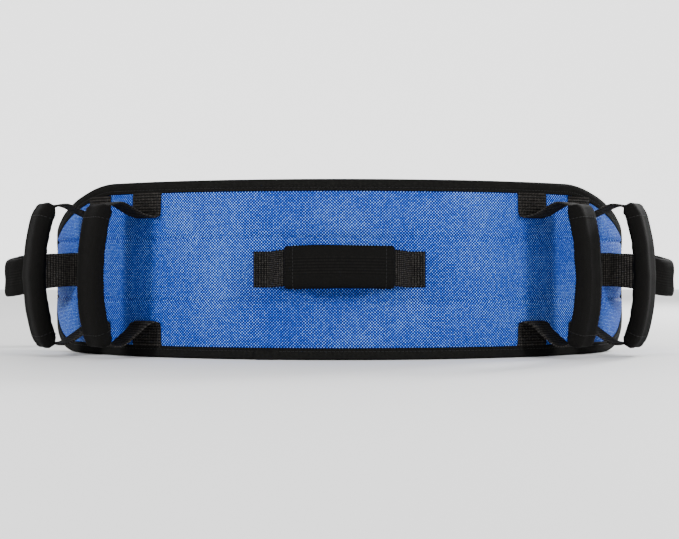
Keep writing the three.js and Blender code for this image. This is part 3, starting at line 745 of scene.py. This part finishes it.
# Centre line of the webbing where it is sewn on, before the loop's own route. The level one is
# measured from the place where the loop leaves the panel.
LEVEL_ROOT = [(LEVEL_ANCHOR - 0.0015, 0), (0.007, 0), (0.001, 0.0012), (-0.0015, 0.0055)]
UPRIGHT_ROOT = [(0.060, 0), (0.0525, 0.0003), (0.0492, 0.0020), (0.0485, 0.0050)]


def smoothstep(value):
    value = np.clip(value, 0, 1)
    return value * value * (3 - 2 * value)


class Handle:
    """One loop: where it is sewn, which way its loop points, and its centre line."""

    def __init__(self, name, loop, arc, reach=0.0, lean=0.0, stretch=1.0):
        """A level handle has its sewn ends reach to each side of the arc; an upright one has reach 0."""
        self.name = name
        self.loop = loop
        self.arc = arc
        self.reach = reach
        self.level = reach > 0
        self.stretch = stretch
        self.top = loop["route"][-1][1] * MM * stretch
        self.normal = panel_normal(arc)
        if self.level:
            ends = panel_point(np.array([arc - reach, arc + reach]), OUTER_FACE, MID)
            self.origin = ends.mean(0)
            along = unit(ends[1] - ends[0])
            self.away = np.array([along[1], -along[0], 0.0])
            self.hinge_line = along
            self.width_axis = UP
        else:
            self.origin = panel_point(arc, OUTER_FACE, MID)
            turn = math.radians(lean) * np.sign(arc)
            cos = math.cos(turn)
            sin = math.sin(turn)
            x, y, _ = self.normal
            self.away = np.array([x * cos - y * sin, x * sin + y * cos, 0.0])
            self.hinge_line = UP
            self.width_axis = np.cross(UP, self.away)

    def half_route(self):
        return [(u * MM, v * MM * (self.stretch if v * MM > FOOT else 1)) for u, v in self.loop["route"]]

    def centre_line(self, count):
        """(u, v) from one sewn end to the other."""
        if self.level:
            root = [(self.reach + u, v) for u, v in LEVEL_ROOT]
            half = root + self.half_route()[1:]
        else:
            edge = float(half_height(self.arc, TOP_FALL)) - 0.0095
            half = [(edge, 0)] + UPRIGHT_ROOT + self.half_route()
        return smooth_route(mirrored(half), count)

    def place(self, u, v, w):
        """Point at u along the hinge line, v away from it and w across the webbing."""
        if self.level:
            droop = -self.loop["rise"] * (np.maximum(v, 0) / self.top) ** 2
            sewn_arc = self.arc + u
            sewn_z = MID + w
        else:
            droop = self.loop["sag"] * np.sqrt(np.clip((v - FOOT) / (self.top - FOOT), 0, 1.1))
            sewn_arc = self.arc + w
            sewn_z = MID + u
        loose = self.origin + np.multiply.outer(u, self.hinge_line) + np.multiply.outer(v, self.away)
        loose = loose + np.multiply.outer(w, self.width_axis) - np.multiply.outer(droop, UP)
        lie = OUTER_FACE + outer_relief(sewn_arc, sewn_z) * 0.6 + HANDLE_THICKNESS
        sewn = panel_point(sewn_arc, lie + v, sewn_z)
        free = smoothstep(v / TWIST_REACH)[..., None]
        return sewn * (1 - free) + loose * free


def mirrored(half):
    """The whole line from its first half, which ends in the middle."""
    return [*half, *((-u, v) for u, v in half[-2::-1])]


def handle_webbing(handle):
    line = handle.centre_line(170)
    along = lengths_along(line)
    across = np.linspace(-HANDLE_WEBBING / 2, HANDLE_WEBBING / 2, 15)
    u, w = np.meshgrid(line[:, 0], across)
    v = np.repeat(line[None, :, 1], len(across), 0)
    grid = handle.place(u, v, w)
    uv = np.stack([np.repeat(along[None], len(across), 0), w], -1)
    half_way = grid.shape[1] // 2
    if float((surface_normals(grid)[:, half_way] * handle.away).sum()) < 0:
        grid = grid[::-1]
        uv = uv[::-1]
    strip = thin_sheet(f"{handle.name}_strip", grid, uv, HANDLE_THICKNESS)
    anchors = [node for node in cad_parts
               if node.startswith(handle.name + "_") and node.endswith("_anchor")]
    dress(strip, "webbing", None, (f"{handle.name}_webbing", *anchors))
    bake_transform(strip)


def grip_section(turn, half_width, half_thickness):
    """A flattened oval: distance across the webbing, and distance off its middle."""
    cos = np.cos(turn)
    sin = np.sin(turn)
    width = half_width * np.sign(cos) * np.abs(cos) ** 0.42
    return width, half_thickness * np.sign(sin) * np.abs(sin) ** 0.5


def fold_line(across):
    """A raised pleat with a shallow valley on each side."""
    return 0.0021 * bell(across, 0.0013) - 0.0009 * bell(np.abs(across) - 0.0034, 0.0016)


def sleeve_line(handle):
    """The part of the loop's centre line inside the sleeve."""
    count = 200
    route = smooth_route(handle.half_route(), count)
    first = int(2 * handle.loop["sleeve_from"] * count)
    return even_steps(np.array(mirrored(route[first:])), 84)


def sleeve_relief(s, end, turn, width, half_width, seed):
    """Creases inside the bend, fold lines along the sleeve and a hem at each end."""
    inside = np.clip(-np.sin(turn), 0, 1)
    creases = wander(s, width * 0.3, seed, 0.013) * 0.0007 * inside
    creases = creases + wander(s, turn * 0.01, seed + 1, 0.05) * 0.0006
    ridge = np.where(np.sin(turn) > 0, fold_line(width + 0.15 * half_width), 0)
    ridge = ridge + np.where(np.sin(turn) < 0, fold_line(width - 0.45 * half_width), 0)
    hem = 0.0005 * bell(end - 0.0035, 0.0022) - 0.0006 * bell(end - 0.0068, 0.0007)
    return (creases + ridge + hem) * np.clip(end / 0.003, 0, 1)


def sleeve_section(handle, s, end, turn, seed):
    """Distance across the webbing and off its middle for each point of the sleeve."""
    half_width, half_thickness = handle.loop["sleeve"]
    width, thick = grip_section(turn, half_width, half_thickness)
    rise = sleeve_relief(s, end, turn, width, half_width, seed)
    taper = 1 - 0.30 * bell(end, 0.0035) * (end < 0.02)
    thick = thick * taper + np.sin(turn) * rise
    width = width * (taper * 0.12 + 0.88) + np.cos(turn) * rise * 0.6
    # At its very end the sleeve closes onto the webbing.
    inner_width, inner_thick = grip_section(turn, HANDLE_WEBBING / 2 + 0.0003, HANDLE_THICKNESS / 2 + 0.0003)
    lip = np.sqrt(np.clip(end / 0.0018, 0, 1))
    return inner_width + (width - inner_width) * lip, inner_thick + (thick - inner_thick) * lip


def tube_faces(rows, cols):
    """Faces of a closed tube with flat ends: rows go round it and columns along it."""
    index = np.arange(rows * cols).reshape(rows, cols)
    after = np.roll(index, -1, axis=0)
    corners = [index[:, :-1], index[:, 1:], after[:, 1:], after[:, :-1]]
    faces = np.stack(corners, -1).reshape(-1, 4).tolist()
    return faces + [index[:, 0].tolist(), index[::-1, -1].tolist()]


def handle_grip(handle, seed):
    """Padded sleeve on the loop, with hemmed ends, fold lines and creases inside the bend."""
    line = sleeve_line(handle)
    length = line_length(line)
    tangent = unit(np.gradient(line, axis=0))
    outward = np.stack([-tangent[:, 1], tangent[:, 0]], -1)
    outward = outward * np.sign(outward[len(line) // 2, 1])
    turns = np.linspace(0, 2 * np.pi, 48, endpoint=False)
    s, turn = np.meshgrid(np.linspace(0, length, len(line)), turns)
    width, thick = sleeve_section(handle, s, np.minimum(s, length - s), turn, seed)
    centre = line[None] + outward[None] * thick[..., None]
    grid = handle.place(centre[..., 0], np.maximum(centre[..., 1], 0.0125), width)
    faces = tube_faces(*grid.shape[:2])
    uv = np.stack([s, turn * handle.loop["sleeve"][0] * 0.75], -1)
    piece = new_piece(f"{handle.name}_sleeve", grid.reshape(-1, 3), faces, uv.reshape(-1, 2))
    grip = face_outward(piece)
    dress(grip, "sleeve", handle.name, (f"{handle.name}_grip",))
    for label, column in (("start", 8), ("end", len(line) - 9)):
        ring = np.concatenate([grid[:, column], grid[:1, column]])
        normal = unit(ring - ring[:-1].mean(0))
        name = f"{handle.name}_sleeve_{label}_stitches"
        seam = stitch_row(name, ring + normal * 0.0001, normal, "black_thread", handle.name, pitch=0.0034)


def patch_stitches(handle):
    """A sewn box with a cross on each end of the webbing."""
    half = HANDLE_WEBBING / 2 - 0.003
    if handle.level:
        low = handle.reach + 0.002
        high = handle.reach + LEVEL_ANCHOR - 0.004
    else:
        low = 0.053
        high = float(half_height(handle.arc, TOP_FALL)) - 0.014
    box = [(low, -half), (high, -half), (high, half), (low, half), (low, -half)]
    cross = [(high, half), (high, -half), (low, half)]
    flat = even_steps(np.array(box + cross), 160)
    w = flat[:, 1]
    for label, sign in (("a", 1), ("b", -1)):
        u = flat[:, 0] * sign
        line = handle.place(u, np.full_like(u, 0.0001), w)
        normal = panel_normal(handle.arc + (u if handle.level else w))
        stitch_row(f"{handle.name}_box_{label}", line, normal, "black_thread", "panel", pitch=0.0033)


def make_handles():
    handles = [Handle("centre_handle", CENTRE_LOOP, 0.0, reach=0.062)]
    for label, side in (("left", -1), ("right", 1)):
        for kind, spot in (("inner", INNER_UPRIGHT), ("outer", OUTER_UPRIGHT)):
            name = f"{label}_{kind}_handle"
            arc = side * spot["arc"]
            handles.append(Handle(name, UPRIGHT_LOOP, arc, lean=spot["lean"], stretch=spot["stretch"]))
        handles.append(Handle(f"{label}_side_handle", SIDE_LOOP, side * SIDE_ARC, reach=0.031))
    for number, handle in enumerate(handles):
        handle_webbing(handle)
        handle_grip(handle, 100 + 7 * number)
        patch_stitches(handle)


# ---- Strap, tab, buckle and slider --------------------------------------------------------

def quadratic(a, b, c, count):
    t = np.linspace(0, 1, count)[:, None]
    return (1 - t) ** 2 * a + 2 * t * (1 - t) * b + t * t * c


def cubic(a, b, c, d, t):
    t = np.asarray(t)[:, None]
    return (1 - t) ** 3 * a + 3 * t * (1 - t) ** 2 * b + 3 * t * t * (1 - t) * c + t ** 3 * d


def last_bend(t):
    """Centre line from the end of the straight length to the buckle's slot, at shares t of it."""
    start = np.array(STRAIGHT_START)
    end = np.array(STRAIGHT_END)
    straight = end - start
    entry = np.array([SLOT_EXIT_X, LOCK_Y - LOCK_WRAP, MID])
    after_end = end + straight * BEND_REACH / -straight[0]
    before_entry = entry + np.array([0.07, 0, -0.006])
    return cubic(end, after_end, before_entry, entry, t)


def lock_wrap(first_angle, last_angle, count):
    """Part of the strap's turn round the buckle's lock bar."""
    turns = np.linspace(math.radians(first_angle), math.radians(last_angle), count)
    x = LOCK_X - LOCK_WRAP * np.sin(turns)
    y = LOCK_Y - LOCK_WRAP * np.cos(turns)
    return np.stack([x, y, np.full_like(turns, MID)], -1)


def ribbon(name, line, facing, slant=0.0):
    """Strap webbing standing on edge along the line, and its length. Slant cuts its end at an angle."""
    lengths = lengths_along(line)
    count = int(lengths[-1] / 0.0016) + 20
    rows = []
    uvs = []
    for w in np.linspace(-STRAP_WIDTH / 2, STRAP_WIDTH / 2, 19):
        cut = slant * (w / STRAP_WIDTH + 0.5)
        at = np.linspace(0, lengths[-1] - cut, count)
        rows.append(point_at(line, lengths, at) + UP * w)
        uvs.append(np.stack([at, np.full_like(at, w)], -1))
    grid = np.array(rows)
    uv = np.array(uvs)
    if float((surface_normals(grid).mean((0, 1)) * np.array(facing)).sum()) < 0:
        grid = grid[::-1]
        uv = uv[::-1]
    return thin_sheet(name, grid, uv, STRAP_THICKNESS), lengths[-1]


def waist_strip():
    arcs = np.linspace(-END_ARC + 0.022, END_ARC - 0.020, 400)
    line = panel_point(arcs, STRAP_OFFSET + STRAP_THICKNESS / 2, MID)
    strip, length = ribbon("waist_strap", line, (0, -1, 0))
    dress(strip, "strap", "panel", ("waist_webbing",))


def front_line():
    """Centre line of the front strap, from inside the channel to its turn round the lock bar."""
    inside = panel_point(np.linspace(END_ARC - 0.019, END_ARC, 12), STRAP_OFFSET, MID)
    start = np.array(STRAIGHT_START)
    end = np.array(STRAIGHT_END)
    straight = end - start
    corner = start + straight * (STRAP_X - start[0]) / straight[0]
    first = quadratic(np.array(HINGE), corner, start, 90)
    middle = np.linspace(start, end, 60)
    bend = last_bend(np.linspace(0, 1, 120))
    fold = lock_wrap(0, 150, 14)
    return even_steps(np.concatenate([inside[:-1], first, middle[1:], bend[1:], fold[1:]]), 700)


def front_strip():
    line = front_line()
    x = line[:, 0]
    y = line[:, 1]
    free = np.clip((y - 0.12) / 0.03, 0, 1) * (np.abs(x) < 0.22)
    line[:, 1] = y + 0.0006 * wander(x, y, 41, 0.16) * free
    strip, length = ribbon("front_webbing", line, (0, 1, 0))
    dress(strip, "strap", None, ("front_strap",))
    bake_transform(strip)


def tail_gap(share):
    """How far the tail stands off the strap, from the lock bar at share 0 to its loose end at 1."""
    lying = 0.003
    at_lock = (2 * LOCK_WRAP - lying) * (1 - share) ** 3
    bulge = 0.007 * np.sin(np.pi * share) ** 2 * (1 - share)
    return lying + at_lock + bulge


def tail_strip():
    share = np.linspace(0, 1, 160)
    along = 1 - share * TAIL_SHARE
    tangent = unit(last_bend(np.clip(along + 1e-4, 0, 1)) - last_bend(along - 1e-4))
    outward = unit(np.stack([tangent[:, 1], -tangent[:, 0], np.zeros_like(along)], -1))
    line = last_bend(along) + outward * tail_gap(share)[:, None]
    line = even_steps(np.concatenate([lock_wrap(155, 180, 5), line[1:]]), 260)
    strip, length = ribbon("strap_end", line, (0, 1, 0), slant=TAIL_SLANT)
    dress(strip, "strap", None, ("strap_tail",))
    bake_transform(strip)


def tab_strip():
    """The short loop from the panel's left end round the receiver's bar and back."""
    bar_y = -0.00375 + ELLIPSE_Y
    reach = math.hypot(0.0025, 0.00225) + 0.0003 + STRAP_THICKNESS / 2
    turns = np.linspace(-math.pi / 2, math.pi / 2, 24)
    x = -STRAP_X + reach * np.sin(turns)
    y = bar_y + reach * np.cos(turns)
    fold = np.stack([x, y, np.full_like(turns, MID)], -1)
    legs = [(-0.0010, 0.036), (-0.0012, 0.050), (-0.0030, 0.060)]
    before = np.array([(-STRAP_X + x, y, MID) for x, y in legs])
    after = np.array([(-STRAP_X - x, y, MID) for x, y in legs[::-1]])
    line = smooth_route(np.concatenate([before, fold[::3], fold[-1:], after]), 160)
    strip, length = ribbon("receiver_strip", line, (0, 1, 0))
    dress(strip, "strap", "panel", ("receiver_tab",))


def hardware():
    """The buckle and the slider keep their own shapes, with rounded edges."""
    for name in ("buckle_receiver", "buckle_base", "slider", "upper_prong", "lower_prong"):
        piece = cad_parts[name]
        piece.data.materials.clear()
        piece.data.materials.append(MATERIALS["buckle" if name == "buckle_receiver" else "plastic"])
        edge = piece.modifiers.new("rounded_edges", "BEVEL")
        edge.width = 0.0006
        edge.segments = 2
        edge.limit_method = "ANGLE"
        edge.angle_limit = math.radians(35)
        edge.harden_normals = True


# ---- Stage --------------------------------------------------------------------------------

CAMERA_DISTANCE = 1.17
OUTER_FACE_Y = ELLIPSE_Y - PANEL_DEPTH - OUTER_FACE
FLOOR_REACH = 6
WALL_Y = 4

# Soft lights that face the belt: place, size in metres, power in watts.
LIGHTS = {
    "left": ((-1.25, -1.2, 0.45), 0.25, 30),
    "right": ((1.25, -1.2, 0.45), 0.25, 30),
    "front": ((0.0, -1.7, 1.5), 1.0, 8),
    "back": ((1.3, 1.2, 1.0), 0.4, 42),
}


def stage_sheet(name, corners, shade, dark, light):
    sheet = new_piece(name, corners, [(0, 1, 2, 3)], smooth=False)
    shade.colour(shade.mix(shade.noise(1.5), dark, light))
    sheet.data.materials.append(shade.material)


def studio():
    r = FLOOR_REACH
    ground = [(-r, -r, 0), (r, -r, 0), (r, r, 0), (-r, r, 0)]
    stage_sheet("floor", ground, Shade("pale_floor", 0.75), grey(0.80), (0.84, 0.84, 0.835))
    wall = [(-r, WALL_Y, 0), (r, WALL_Y, 0), (r, WALL_Y, r), (-r, WALL_Y, r)]
    paper = Shade("backdrop_paper", 0.8, Emission_Color=(1, 1, 1, 1), Emission_Strength=1.6)
    stage_sheet("backdrop", wall, paper, grey(0.85), grey(0.88))
    world = bpy.data.worlds.new("studio")
    world.use_nodes = True
    background = world.node_tree.nodes["Background"]
    background.inputs["Color"].default_value = (1, 1, 1, 1)
    background.inputs["Strength"].default_value = 0.7
    bpy.context.scene.world = world
    for name, (place, size, power) in LIGHTS.items():
        light = bpy.data.lights.new(name, "AREA")
        light.size = size
        light.energy = power
        lamp = bpy.data.objects.new(name, light)
        lamp.location = place
        lamp.rotation_euler = (Vector((0, 0, MID)) - Vector(place)).to_track_quat("-Z", "Y").to_euler()
        bpy.context.scene.collection.objects.link(lamp)


def camera():
    data = bpy.data.cameras.new("camera")
    data.lens = 70.5
    data.sensor_width = 36
    eye = bpy.data.objects.new("camera", data)
    eye.location = (0, OUTER_FACE_Y - CAMERA_DISTANCE, MID)
    eye.rotation_euler = (math.radians(90), 0, 0)
    bpy.context.scene.collection.objects.link(eye)
    bpy.context.scene.camera = eye


blue_shell()
mesh_lining()
channel_cover()
edge_binding()
panel_seams()
binding_stitches()
make_handles()
waist_strip()
front_strip()
tail_strip()
tab_strip()
hardware()
studio()
camera()
